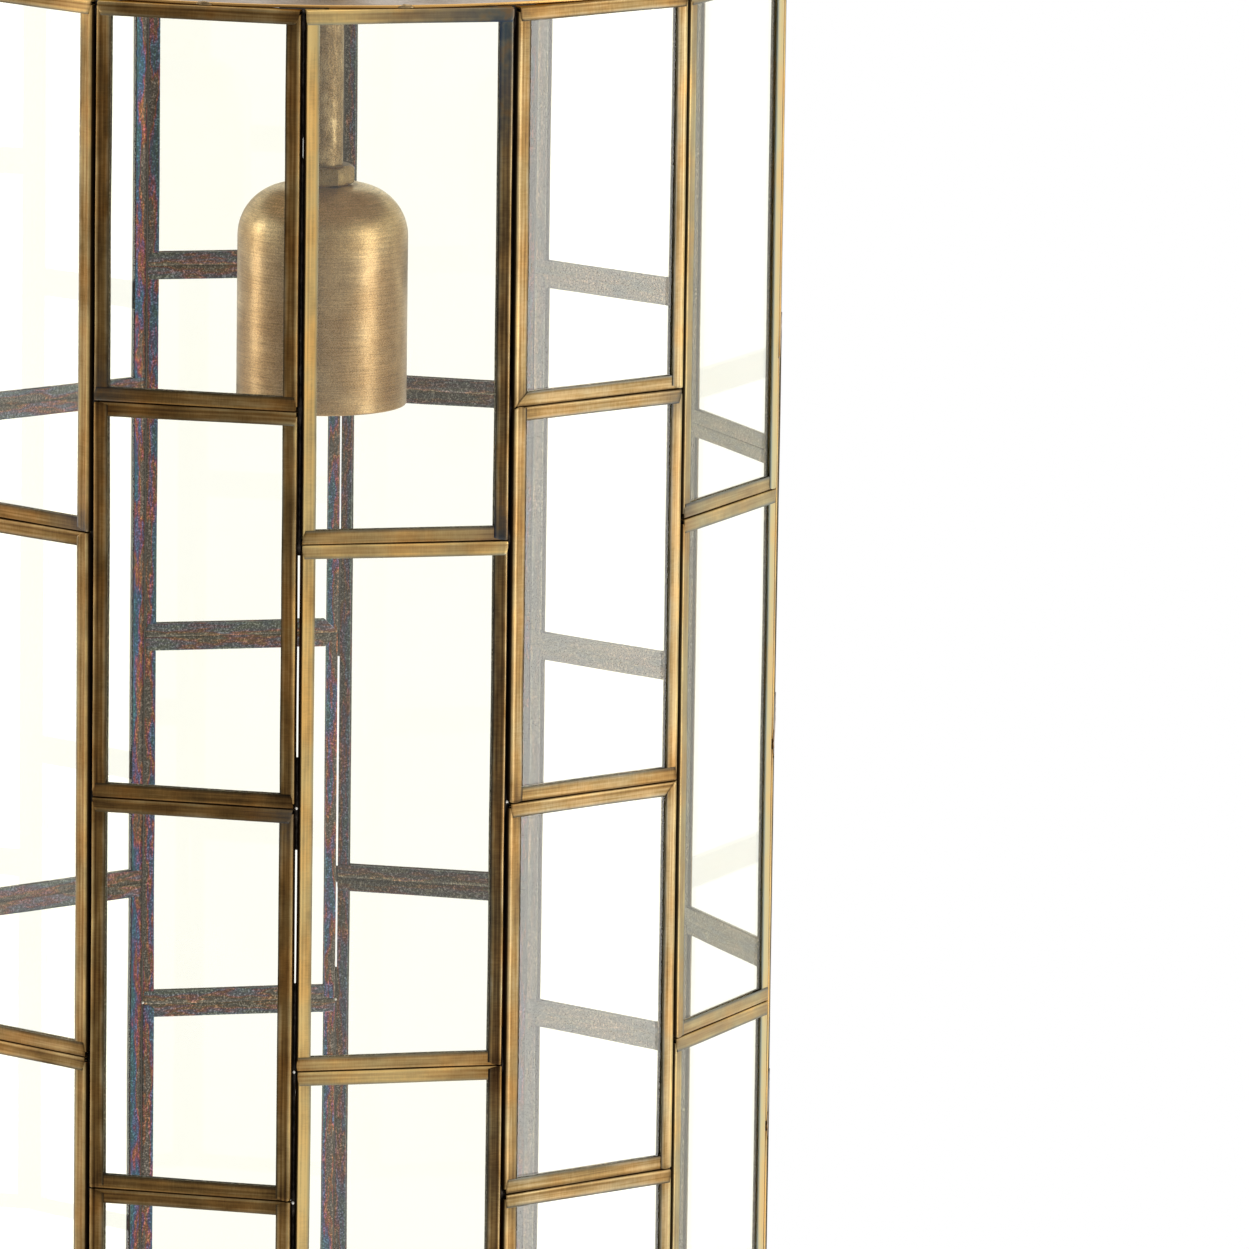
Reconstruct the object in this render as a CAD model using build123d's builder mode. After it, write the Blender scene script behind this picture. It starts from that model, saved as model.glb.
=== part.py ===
from build123d import *
import os
from math import cos, sin, sqrt, tan, radians

os.makedirs("parts", exist_ok=True)

# Pendant lantern: a fourteen-sided prism of framed glass panes under a round brass plate.
# Millimetres, +Z up. The origin is the centre of the hole in the hanging eye.
# Angles go round the lantern from -Y towards +X, and a seam between two columns lies at -Y.

# Lantern body
across_corners = 250.0
lantern_height = 415.0
column_count = 14
tall_rows = 3
short_rows = 4
column_gap = 0.35
seam_gap = 0.15

# Channel frame round each pane
came_width = 3.7
came_wall = 0.45
bend_radius = 0.3
glass_thickness = 2.0
glass_side_clearance = 0.05
glass_edge_clearance = 0.25

# Solder in the gaps between columns and at the rim of the plate
solder_depth = 1.9
solder_run = 6.0
tack_width = 4.0
tack_leg = 0.4
tack_clearance = 0.02

# Top plate
plate_margin = 0.87
plate_thickness = 0.8

# Stem and its hardware
stem_diameter = 10.0
stem_bore = 7.0
thread_clearance = 0.05
nut_across_flats = 14.0
nut_height = 5.4
nut_chamfer = 0.5
washer_diameter = 24.0
washer_thickness = 1.0
cup_washer_margin = 0.3

# Cup that covers the lampholder
cup_drop = 63.4
cup_diameter = 45.0
cup_height = 58.7
cup_wall = 1.0
cup_shoulder_radius = 15.0

# Lampholder inside the cup
holder_side_gap = 2.5
holder_wall = 2.0
holder_recess = 3.0
boss_diameter = 16.0
boss_height = 8.0
cap_height = 14.0
cap_shoulder_radius = 6.0
core_clearance = 0.15
core_height = 11.0
core_in_cap = 3.0
shell_crest_diameter = 25.2
shell_wall = 0.75
shell_clearance = 0.1
shell_mouth_length = 4.0
shell_end_recess = 2.0
thread_pitch = 3.62
thread_groove_radius = 0.85

# Contacts and screws of the lampholder
contact_diameter = 8.0
contact_running_clearance = 0.06
contact_above_core_face = 1.3
contact_below_core_face = 2.5
contact_pocket_depth = 3.0
contact_end_radius = 1.2
side_contact_width = 5.0
side_contact_thickness = 0.5
side_contact_start = 6.0
screw_diameter = 3.0
screw_head_diameter = 5.5
screw_head_height = 2.0
screw_length = 5.0
screw_slot = 0.8
terminal_spacing = 20.0

# Forked collar on the upper end of the stem
collar_diameter = 20.0
collar_seat_gap = 0.2
fork_floor_thickness = 2.0
stem_in_collar = 7.0
cable_chamber_diameter = 8.0
cable_chamber_height = 8.0
pin_above_fork_floor = 8.0
ear_above_pin = 6.5
ear_flat_cut = 1.5
collar_edge_radius = 1.5

# Hanging eye and its pin
pin_diameter = 5.0
pin_head_diameter = 7.4
pin_head_height = 1.4
pin_head_radius = 1.0
pin_seat_clearance = 0.02
pin_running_clearance = 0.05
eye_thickness = 6.0
eye_side_clearance = 0.15
eye_to_pin = 27.0
eye_outer_diameter = 25.0
eye_hole_diameter = 13.0
eye_foot_diameter = 12.0
eye_shank_width = 9.0
eye_edge_radius = 0.8

# Bush in the cable outlet of the collar
bush_outer_diameter = 7.6
bush_bore = 6.0
bush_flange_diameter = 9.6
bush_flange_thickness = 1.0
bush_spotface_diameter = 10.2
bush_clearance = 0.03

# Sizes worked out from the ones above
half_angle = radians(180.0 / column_count)
outer_apothem = across_corners / 2 * cos(half_angle)
slot_depth = glass_thickness + 2 * glass_side_clearance
came_depth = slot_depth + 2 * came_wall
inner_apothem = outer_apothem - came_depth
frame_width = 2 * inner_apothem * tan(half_angle) - column_gap
pane_inset = came_wall + glass_edge_clearance
stem_hole_diameter = stem_diameter + 2 * thread_clearance
plate_diameter = 2 * (outer_apothem - plate_margin)
cup_washer_diameter = cup_diameter - 2 * cup_shoulder_radius - 2 * cup_washer_margin
holder_diameter = cup_diameter - 2 * cup_wall - 2 * holder_side_gap
collar_base_height = stem_in_collar + cable_chamber_height + fork_floor_thickness
ear_flat_width = collar_diameter - 2 * ear_flat_cut
shell_mouth_diameter = shell_crest_diameter + 2 * thread_groove_radius
shell_outer_diameter = shell_mouth_diameter + 2 * shell_wall
bush_spotface_at = sqrt((collar_diameter / 2) ** 2 - (bush_spotface_diameter / 2) ** 2)

# Heights, from the hanging eye down
pin_z = -eye_to_pin
fork_floor = pin_z - pin_above_fork_floor
collar_bottom = fork_floor - collar_base_height
plate_top = collar_bottom - collar_seat_gap - nut_height - washer_thickness
frame_top = plate_top - plate_thickness
cup_top = frame_top - cup_drop
cup_rim = cup_top - cup_height
holder_top = cup_top - cup_wall - washer_thickness
cap_shoulder = holder_top - boss_height
cap_bottom = cap_shoulder - cap_height
core_top = cap_bottom + core_in_cap
core_bottom = core_top - core_height
housing_bottom = cup_rim + holder_recess
shell_bottom = housing_bottom + shell_end_recess
stem_top = collar_bottom + stem_in_collar
outlet_z = stem_top + cable_chamber_height / 2


def write(piece, name):
    """Label a finished piece and write it under its own name."""
    piece.part.label = name
    export_step(piece.part, f"parts/{name}.step")


def ring(outer_diameter, inner_diameter, bottom, height):
    """Flat ring round the lamp's axis."""
    with BuildPart() as piece:
        with BuildSketch(Plane.XY.offset(bottom)):
            Circle(outer_diameter / 2)
            Circle(inner_diameter / 2, mode=Mode.SUBTRACT)
        extrude(amount=height)
    return piece


def hex_nut(bottoms):
    """Chamfered hexagonal nuts on the stem, one for each height."""
    with BuildPart() as piece:
        for bottom in bottoms:
            with BuildSketch(Plane.XY.offset(bottom)):
                RegularPolygon(nut_across_flats / 2, 6, major_radius=False)
                Circle(stem_hole_diameter / 2, mode=Mode.SUBTRACT)
            extrude(amount=nut_height)
        corners = piece.edges().filter_by(GeomType.LINE).filter_by(Axis.Z, reverse=True)
        chamfer(corners, nut_chamfer)
    return piece


def screw(diameter, length, head_diameter, head_height):
    """Slotted cheese-head screw that stands on its shank, head up, seat at z = 0."""
    with BuildPart() as piece:
        with BuildSketch(Plane.XY.offset(-length)):
            Circle(diameter / 2)
        extrude(amount=length)
        with BuildSketch(Plane.XY):
            Circle(head_diameter / 2)
        extrude(amount=head_height)
        with BuildSketch(Plane.XY.offset(head_height)):
            Rectangle(head_diameter, screw_slot)
        extrude(amount=-head_height / 2, mode=Mode.SUBTRACT)
    return piece


def grub_screw(length):
    """Slotted grub screw along Z from z = 0."""
    with BuildPart() as piece:
        with BuildSketch(Plane.XY):
            Circle(screw_diameter / 2)
        extrude(amount=length)
        with BuildSketch(Plane.XY.offset(length)):
            Rectangle(screw_diameter, screw_slot)
        extrude(amount=-screw_slot, mode=Mode.SUBTRACT)
    return piece


def column_plane(column):
    """Inner face of a column: X along the face, Y up, Z outwards, origin at the top edge."""
    turn = (2 * column + 1) * half_angle
    outward = Vector(sin(turn), -cos(turn), 0)
    along = Vector(cos(turn), sin(turn), 0)
    return Plane(outward * inner_apothem + Vector(0, 0, frame_top), x_dir=along, z_dir=outward)


def row_places(column, rows):
    """Middle of each pane's frame on a column's inner face, from the top down."""
    row_height = lantern_height / rows
    plane = column_plane(column)
    return [plane.location * Location((0, -row_height * (row + 0.5), 0)) for row in range(rows)]


# Came frames: a channel that is folded round its pane, open towards the glass
def came_frame(rows):
    height = lantern_height / rows - seam_gap
    with BuildPart() as piece:
        with BuildSketch(Plane.XY):
            Rectangle(frame_width, height)
        extrude(amount=came_depth)
        folds = piece.edges().filter_by(Plane.XY)
        fillet(folds, bend_radius)
        with BuildSketch(Plane.XY):
            Rectangle(frame_width - 2 * came_width, height - 2 * came_width)
        extrude(amount=came_depth, mode=Mode.SUBTRACT)
        with BuildSketch(Plane.XY.offset(came_wall)):
            Rectangle(frame_width - 2 * came_wall, height - 2 * came_wall)
        extrude(amount=slot_depth, mode=Mode.SUBTRACT)
    return piece


# Panes of clear glass, held in the channel all round
def glass_pane(rows):
    height = lantern_height / rows - seam_gap
    with BuildPart() as piece:
        with BuildSketch(Plane.XY.offset(came_wall + glass_side_clearance)):
            Rectangle(frame_width - 2 * pane_inset, height - 2 * pane_inset)
        extrude(amount=glass_thickness)
    return piece


for column in range(column_count):
    rows = tall_rows if column % 2 == 0 else short_rows
    one_frame = came_frame(rows)
    one_pane = glass_pane(rows)
    with BuildPart() as frames:
        with Locations(*row_places(column, rows)):
            add(one_frame.part)
    write(frames, f"column_{column + 1:02d}_frames")
    with BuildPart() as panes:
        with Locations(*row_places(column, rows)):
            add(one_pane.part)
    write(panes, f"column_{column + 1:02d}_panes")


# Solder runs in the wedge between two columns, at every seam and at both ends
def wedge_point(depth, side):
    """Point on a column's side face, seen from the corner: X outwards, Y round the lantern."""
    reach = inner_apothem + depth
    radial = reach * cos(half_angle) + frame_width / 2 * sin(half_angle)
    sideways = reach * sin(half_angle) - frame_width / 2 * cos(half_angle)
    return (radial, side * sideways)


tall_seams = [lantern_height * row / tall_rows for row in range(1, tall_rows)]
short_seams = [lantern_height * row / short_rows for row in range(1, short_rows)]
end_runs = [solder_run / 2 + seam_gap, lantern_height - solder_run / 2 - seam_gap]
solder_heights = [frame_top - drop for drop in tall_seams + short_seams + end_runs]

with BuildPart() as corner_solder:
    for height in solder_heights:
        with BuildSketch(Plane.XY.offset(height - solder_run / 2)):
            with PolarLocations(0, column_count, start_angle=-90):
                Polygon(
                    wedge_point(0, -1),
                    wedge_point(solder_depth, -1),
                    wedge_point(solder_depth, 1),
                    wedge_point(0, 1),
                    align=None,
                )
        extrude(amount=solder_run)
write(corner_solder, "corner_solder")

# Round plate on top of the frames, tacked to them at the middle of every face
top_plate = ring(plate_diameter, stem_hole_diameter, frame_top, plate_thickness)
write(top_plate, "top_plate")

tack_start = plate_diameter / 2 + tack_clearance
with BuildPart() as plate_tacks:
    for column in range(column_count):
        turn = (2 * column + 1) * half_angle
        along = Vector(cos(turn), sin(turn), 0)
        outward = Vector(sin(turn), -cos(turn), 0)
        side = Plane(Vector(0, 0, frame_top) - along * tack_width / 2, x_dir=outward, z_dir=along * -1)
        with BuildSketch(side):
            Polygon(
                (tack_start, 0),
                (tack_start + tack_leg, 0),
                (tack_start, tack_leg),
                align=None,
            )
        extrude(amount=-tack_width)
write(plate_tacks, "plate_tacks")

# Stem tube, with its nuts and washers
stem_tube = ring(stem_diameter, stem_bore, cap_shoulder, stem_top - cap_shoulder)
write(stem_tube, "stem_tube")

upper_washer = ring(washer_diameter, stem_hole_diameter, plate_top, washer_thickness)
write(upper_washer, "plate_washer_upper")
lower_washer = ring(washer_diameter, stem_hole_diameter, frame_top - washer_thickness, washer_thickness)
write(lower_washer, "plate_washer_lower")

upper_nut_bottom = plate_top + washer_thickness
lower_nut_bottom = frame_top - washer_thickness - nut_height
plate_nuts = hex_nut([upper_nut_bottom, lower_nut_bottom])
write(plate_nuts, "plate_nuts")
cup_nut = hex_nut([cup_top])
write(cup_nut, "cup_nut")

# Cup: straight wall under a round shoulder, open at the bottom
with BuildPart() as cup:
    with BuildSketch(Plane.XZ) as cup_outside:
        with Locations((0, cup_rim)):
            Rectangle(cup_diameter / 2, cup_height, align=(Align.MIN, Align.MIN))
        fillet(cup_outside.vertices().group_by(Axis.X)[-1].sort_by(Axis.Y)[-1], cup_shoulder_radius)
    revolve(axis=Axis.Z)
    with BuildSketch(Plane.XZ) as cup_inside:
        with Locations((0, cup_rim)):
            Rectangle(cup_diameter / 2 - cup_wall, cup_height - cup_wall, align=(Align.MIN, Align.MIN))
        fillet(cup_inside.vertices().group_by(Axis.X)[-1].sort_by(Axis.Y)[-1], cup_shoulder_radius - cup_wall)
    revolve(axis=Axis.Z, mode=Mode.SUBTRACT)
    with BuildSketch(Plane.XY.offset(cup_top)):
        Circle(stem_hole_diameter / 2)
    extrude(amount=-2 * cup_wall, mode=Mode.SUBTRACT)
write(cup, "cup")

cup_washer = ring(cup_washer_diameter, stem_hole_diameter, holder_top, washer_thickness)
write(cup_washer, "cup_washer")

# Lampholder cap: threaded boss on the stem, shoulder and skirt
grub_z = cap_shoulder + boss_height / 2
grub_hole = screw_diameter / 2 + thread_clearance
with BuildPart() as holder_cap:
    with BuildSketch(Plane.XY.offset(cap_bottom)):
        Circle(holder_diameter / 2)
    extrude(amount=cap_height)
    fillet(holder_cap.edges().sort_by(Axis.Z)[-1], cap_shoulder_radius)
    with BuildSketch(Plane.XY.offset(cap_shoulder)):
        Circle(boss_diameter / 2)
    extrude(amount=boss_height)
    with BuildSketch(Plane.XY.offset(cap_bottom)):
        Circle(holder_diameter / 2 - holder_wall)
    extrude(amount=cap_height - cap_shoulder_radius, mode=Mode.SUBTRACT)
    with BuildSketch(Plane.XY.offset(holder_top)):
        Circle(stem_hole_diameter / 2)
    extrude(amount=-boss_height - cap_height, mode=Mode.SUBTRACT)
    with BuildSketch(Plane.XZ.offset(-boss_diameter)):
        with Locations((0, grub_z)):
            Circle(grub_hole)
    extrude(amount=boss_diameter, mode=Mode.SUBTRACT)
write(holder_cap, "holder_cap")

grub_reach = stem_hole_diameter / 2
with BuildPart() as holder_grub_screw:
    with Locations(Plane((0, grub_reach, grub_z), x_dir=(1, 0, 0), z_dir=(0, 1, 0))):
        add(grub_screw(boss_diameter / 2 - grub_reach).part)
write(holder_grub_screw, "holder_grub_screw")

# Ceramic core with a pocket for the centre contact and holes for the terminal screws
core_diameter = holder_diameter - 2 * holder_wall - 2 * core_clearance
with BuildPart() as holder_core:
    with BuildSketch(Plane.XY.offset(core_bottom)):
        Circle(core_diameter / 2)
    extrude(amount=core_height)
    with BuildSketch(Plane.XY.offset(core_bottom)):
        Circle(contact_diameter / 2 + contact_running_clearance)
    extrude(amount=contact_pocket_depth, mode=Mode.SUBTRACT)
    with BuildSketch(Plane.XY.offset(core_top)):
        with GridLocations(terminal_spacing, 1, 2, 1):
            Circle(screw_diameter / 2 + thread_clearance)
    extrude(amount=-screw_length - thread_clearance, mode=Mode.SUBTRACT)
write(holder_core, "holder_core")

terminal_screw = screw(screw_diameter, screw_length, screw_head_diameter, screw_head_height)
with BuildPart() as terminal_screws:
    with Locations((-terminal_spacing / 2, 0, core_top), (terminal_spacing / 2, 0, core_top)):
        add(terminal_screw.part)
write(terminal_screws, "terminal_screws")

# Housing under the cap, with a pocket for the core and a bore for the threaded shell
with BuildPart() as holder_housing:
    with BuildSketch(Plane.XY.offset(housing_bottom)):
        Circle(holder_diameter / 2)
        Circle(shell_outer_diameter / 2 + shell_clearance, mode=Mode.SUBTRACT)
    extrude(amount=cap_bottom - housing_bottom)
    with BuildSketch(Plane.XY.offset(core_bottom)):
        Circle(core_diameter / 2 + core_clearance)
    extrude(amount=cap_bottom - core_bottom, mode=Mode.SUBTRACT)
write(holder_housing, "holder_housing")

# Threaded shell: rolled grooves above a plain mouth
shell_length = core_bottom - shell_bottom
groove_count = int((shell_length - shell_mouth_length) / thread_pitch)
with BuildPart() as screw_shell:
    with BuildSketch(Plane.XZ):
        with Locations((shell_crest_diameter / 2, shell_bottom)):
            Rectangle((shell_outer_diameter - shell_crest_diameter) / 2, shell_length,
                      align=(Align.MIN, Align.MIN))
        with Locations((0, shell_bottom)):
            Rectangle(shell_mouth_diameter / 2, shell_mouth_length,
                      align=(Align.MIN, Align.MIN), mode=Mode.SUBTRACT)
        for groove in range(groove_count):
            with Locations((shell_crest_diameter / 2,
                            shell_bottom + shell_mouth_length + thread_pitch * (groove + 0.5))):
                Circle(thread_groove_radius, mode=Mode.SUBTRACT)
    revolve(axis=Axis.Z)
write(screw_shell, "screw_shell")

# Sprung centre contact and the strip that feeds the shell
with BuildPart() as centre_contact:
    with BuildSketch(Plane.XY.offset(core_bottom - contact_below_core_face)):
        Circle(contact_diameter / 2)
    extrude(amount=contact_below_core_face + contact_above_core_face)
    fillet(centre_contact.edges().sort_by(Axis.Z)[0], contact_end_radius)
write(centre_contact, "centre_contact")

with BuildPart() as side_contact:
    with BuildSketch(Plane.XY.offset(core_bottom)):
        with Locations((side_contact_start, 0)):
            Rectangle(shell_crest_diameter / 2 - side_contact_start, side_contact_width,
                      align=(Align.MIN, Align.CENTER))
        Circle(shell_crest_diameter / 2 - thread_clearance, mode=Mode.INTERSECT)
    extrude(amount=-side_contact_thickness)
write(side_contact, "side_contact")

# Forked collar: base on the stem, cable chamber with a side outlet, two ears for the pin
collar_grub_z = collar_bottom + stem_in_collar / 2
fork_slot = eye_thickness + 2 * eye_side_clearance
with BuildPart() as fork_collar:
    with BuildSketch(Plane.XY.offset(collar_bottom)):
        Circle(collar_diameter / 2)
    extrude(amount=pin_z + ear_above_pin - collar_bottom)
    fillet(fork_collar.edges().filter_by(GeomType.CIRCLE), collar_edge_radius)
    with BuildSketch(Plane.XY.offset(fork_floor)):
        Rectangle(fork_slot, collar_diameter)
    extrude(amount=collar_diameter, mode=Mode.SUBTRACT)
    with BuildSketch(Plane.XY.offset(fork_floor)):
        Rectangle(2 * collar_diameter, collar_diameter)
        Rectangle(ear_flat_width, collar_diameter, mode=Mode.SUBTRACT)
    extrude(amount=collar_diameter, mode=Mode.SUBTRACT)
    with BuildSketch(Plane.YZ.offset(-collar_diameter)):
        with Locations((0, pin_z)):
            Circle(pin_diameter / 2 + pin_seat_clearance)
    extrude(amount=2 * collar_diameter, mode=Mode.SUBTRACT)
    with BuildSketch(Plane.XY.offset(collar_bottom)):
        Circle(stem_hole_diameter / 2)
    extrude(amount=stem_in_collar, mode=Mode.SUBTRACT)
    with BuildSketch(Plane.XY.offset(stem_top)):
        Circle(cable_chamber_diameter / 2)
    extrude(amount=cable_chamber_height, mode=Mode.SUBTRACT)
    with BuildSketch(Plane.XZ.offset(-collar_diameter)):
        with Locations((0, outlet_z)):
            Circle(bush_outer_diameter / 2 + bush_clearance)
    extrude(amount=collar_diameter, mode=Mode.SUBTRACT)
    with BuildSketch(Plane.XZ.offset(-collar_diameter)):
        with Locations((0, outlet_z)):
            Circle(bush_spotface_diameter / 2)
    extrude(amount=collar_diameter - bush_spotface_at, mode=Mode.SUBTRACT)
    with BuildSketch(Plane.YZ):
        with Locations((0, collar_grub_z)):
            Circle(grub_hole)
    extrude(amount=collar_diameter, mode=Mode.SUBTRACT)
write(fork_collar, "fork_collar")

with BuildPart() as collar_grub_screw:
    with Locations(Plane((grub_reach, 0, collar_grub_z), x_dir=(0, 1, 0), z_dir=(1, 0, 0))):
        add(grub_screw(collar_diameter / 2 - grub_reach).part)
write(collar_grub_screw, "collar_grub_screw")

# Insulating bush that lines the cable outlet
with BuildPart() as cable_bush:
    with BuildSketch(Plane.XZ.offset(-bush_spotface_at)):
        with Locations((0, outlet_z)):
            Circle(bush_outer_diameter / 2)
            Circle(bush_bore / 2, mode=Mode.SUBTRACT)
    extrude(amount=bush_spotface_at - cable_chamber_diameter / 2)
    with BuildSketch(Plane.XZ.offset(-bush_spotface_at)):
        with Locations((0, outlet_z)):
            Circle(bush_flange_diameter / 2)
            Circle(bush_bore / 2, mode=Mode.SUBTRACT)
    extrude(amount=-bush_flange_thickness)
write(cable_bush, "cable_bush")

# Pin through the fork, headed at both ends
with BuildPart() as fork_pin:
    with BuildSketch(Plane.YZ.offset(-ear_flat_width / 2)):
        with Locations((0, pin_z)):
            Circle(pin_diameter / 2)
    extrude(amount=ear_flat_width)
    with BuildSketch(Plane.YZ.offset(ear_flat_width / 2), Plane.YZ.offset(-ear_flat_width / 2 - pin_head_height)):
        with Locations((0, pin_z)):
            Circle(pin_head_diameter / 2)
    extrude(amount=pin_head_height)
    rims = fork_pin.edges().filter_by(GeomType.CIRCLE).sort_by(Axis.X)
    fillet([rims[0], rims[-1]], pin_head_radius)
write(fork_pin, "fork_pin")

# Hanging eye: a flat link with a round eye above and a rounded foot on the pin
with BuildPart() as hanging_eye:
    with BuildSketch(Plane.YZ):
        Circle(eye_outer_diameter / 2)
        with Locations((0, pin_z)):
            Circle(eye_foot_diameter / 2)
        with Locations((0, pin_z / 2)):
            Rectangle(eye_shank_width, eye_to_pin)
        Circle(eye_hole_diameter / 2, mode=Mode.SUBTRACT)
        with Locations((0, pin_z)):
            Circle(pin_diameter / 2 + pin_running_clearance, mode=Mode.SUBTRACT)
    extrude(amount=eye_thickness / 2, both=True)
    outer_face = hanging_eye.faces().sort_by(Axis.X)[-1]
    inner_face = hanging_eye.faces().sort_by(Axis.X)[0]
    rim_edges = outer_face.outer_wire().edges() + inner_face.outer_wire().edges()
    fillet(rim_edges, eye_edge_radius)
write(hanging_eye, "hanging_eye")
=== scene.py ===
import math
import random

import bmesh
import bpy
from mathutils import Matrix, Vector, noise


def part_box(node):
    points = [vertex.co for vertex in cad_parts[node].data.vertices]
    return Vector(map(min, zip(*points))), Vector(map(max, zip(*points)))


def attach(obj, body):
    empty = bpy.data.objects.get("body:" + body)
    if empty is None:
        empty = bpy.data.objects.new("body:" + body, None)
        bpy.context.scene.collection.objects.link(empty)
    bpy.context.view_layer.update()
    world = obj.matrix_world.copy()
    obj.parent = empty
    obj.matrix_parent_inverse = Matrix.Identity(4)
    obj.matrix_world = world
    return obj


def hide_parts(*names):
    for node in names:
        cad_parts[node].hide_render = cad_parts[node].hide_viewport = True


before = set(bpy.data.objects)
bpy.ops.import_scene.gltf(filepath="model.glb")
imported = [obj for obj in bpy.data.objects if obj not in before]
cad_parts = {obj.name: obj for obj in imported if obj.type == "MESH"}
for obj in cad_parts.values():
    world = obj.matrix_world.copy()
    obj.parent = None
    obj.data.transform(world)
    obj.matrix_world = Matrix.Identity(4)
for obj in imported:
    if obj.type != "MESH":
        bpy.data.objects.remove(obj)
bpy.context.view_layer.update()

# Glazed pendant lantern: fourteen columns of framed panes under a round brass plate.
# Metres, in the frame of the CAD model. Angles go round from -Y towards +X.

lantern = {
    "columns": 14,
    "cornerRadius": 0.125,
    "frameDepth": 0.0030,
    "columnGap": 0.00035,  # between two columns, at their inner faces
    "seamGap": 0.00015,  # between two frames of one column
    "tallRows": 3,
    "shortRows": 4,
}
halfAngle = math.pi / lantern["columns"]
innerApothem = lantern["cornerRadius"] * math.cos(halfAngle) - lantern["frameDepth"]
frameWidth = 2 * innerApothem * math.tan(halfAngle) - lantern["columnGap"]
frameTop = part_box("top_plate")[0].z
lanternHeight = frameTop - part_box("column_01_frames")[0].z


def rowsOf(column):
    return lantern["tallRows"] if column % 2 == 0 else lantern["shortRows"]


def columnAxes(column):
    turn = (2 * column + 1) * halfAngle
    along = Vector((math.cos(turn), math.sin(turn), 0))
    outward = Vector((math.sin(turn), -math.cos(turn), 0))
    return along, outward


# Camera: the photograph's own view, a long lens a little above the lantern
camera = {
    "place": (0.14227, -3.23097, 0.36733),
    "yaw": -1.078,
    "pitch": 10.650,
    "roll": 0.796,
    "lens": 355.2,
}


def addCamera():
    yaw, pitch, roll = (math.radians(camera[key]) for key in ("yaw", "pitch", "roll"))
    forward = Vector((math.sin(yaw) * math.cos(pitch), math.cos(yaw) * math.cos(pitch), -math.sin(pitch)))
    level = Vector((math.cos(yaw), -math.sin(yaw), 0))
    above = level.cross(forward)
    right = math.cos(roll) * level + math.sin(roll) * above
    up = -math.sin(roll) * level + math.cos(roll) * above
    data = bpy.data.cameras.new("photoCamera")
    data.lens = camera["lens"]
    data.sensor_width = 36
    data.clip_end = 60
    rig = bpy.data.objects.new("photoCamera", data)
    turned = Matrix((right, up, -forward)).transposed().to_4x4()
    rig.matrix_world = Matrix.Translation(camera["place"]) @ turned
    bpy.context.scene.collection.objects.link(rig)
    bpy.context.scene.camera = rig


addCamera()
print("camera: placed")


# Node helpers: each returns the socket that the next step takes

def addNode(tree, kind, **settings):
    made = tree.nodes.new("ShaderNode" + kind)
    for key, value in settings.items():
        setattr(made, key, value)
    return made


def feed(tree, socket, value):
    if isinstance(value, bpy.types.NodeSocket):
        tree.links.new(value, socket)
    else:
        socket.default_value = value


def calc(tree, operation, first, second=0.0, clamp=False):
    made = addNode(tree, "Math", operation=operation, use_clamp=clamp)
    feed(tree, made.inputs[0], first)
    feed(tree, made.inputs[1], second)
    return made.outputs[0]


def stretch(tree, vector, factors):
    made = addNode(tree, "VectorMath", operation="MULTIPLY")
    feed(tree, made.inputs[0], vector)
    made.inputs[1].default_value = factors
    return made.outputs[0]


def cloud(tree, vector, scale, detail=3.0, rough=0.55):
    made = addNode(tree, "TexNoise")
    feed(tree, made.inputs["Vector"], vector)
    made.inputs["Scale"].default_value = scale
    made.inputs["Detail"].default_value = detail
    made.inputs["Roughness"].default_value = rough
    return made.outputs["Fac"]


def ramp(tree, factor, stops, mode="LINEAR"):
    made = addNode(tree, "ValToRGB")
    feed(tree, made.inputs["Fac"], factor)
    made.color_ramp.interpolation = mode
    elements = made.color_ramp.elements
    stops = sorted(stops)
    for at, _ in stops[1:-1]:
        elements.new(at)
    elements[0].position = stops[0][0]
    elements[-1].position = stops[-1][0]
    for element, (_, colour) in zip(elements, stops):
        element.color = (*colour, 1) if isinstance(colour, tuple) else (colour, colour, colour, 1)
    return made.outputs["Color"]


def blendColour(tree, factor, first, second, mode="MIX"):
    made = addNode(tree, "Mix", data_type="RGBA", blend_type=mode)
    feed(tree, made.inputs[0], factor)
    feed(tree, made.inputs[6], first)
    feed(tree, made.inputs[7], second)
    return made.outputs[2]


def bump(tree, shader, height, distance, strength=1.0):
    made = addNode(tree, "Bump")
    made.inputs["Strength"].default_value = strength
    made.inputs["Distance"].default_value = distance
    feed(tree, made.inputs["Height"], height)
    tree.links.new(made.outputs["Normal"], shader.inputs["Normal"])


def readMark(tree, name, output="Fac"):
    return addNode(tree, "Attribute", attribute_name=name).outputs[output]


def objectPoint(tree):
    return addNode(tree, "TexCoord").outputs["Object"]


def startMaterial(name):
    material = bpy.data.materials.new(name)
    material.use_nodes = True
    tree = material.node_tree
    tree.nodes.clear()
    output = addNode(tree, "OutputMaterial")
    shader = addNode(tree, "BsdfPrincipled")
    tree.links.new(shader.outputs["BSDF"], output.inputs["Surface"])
    return material, tree, shader


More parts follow.
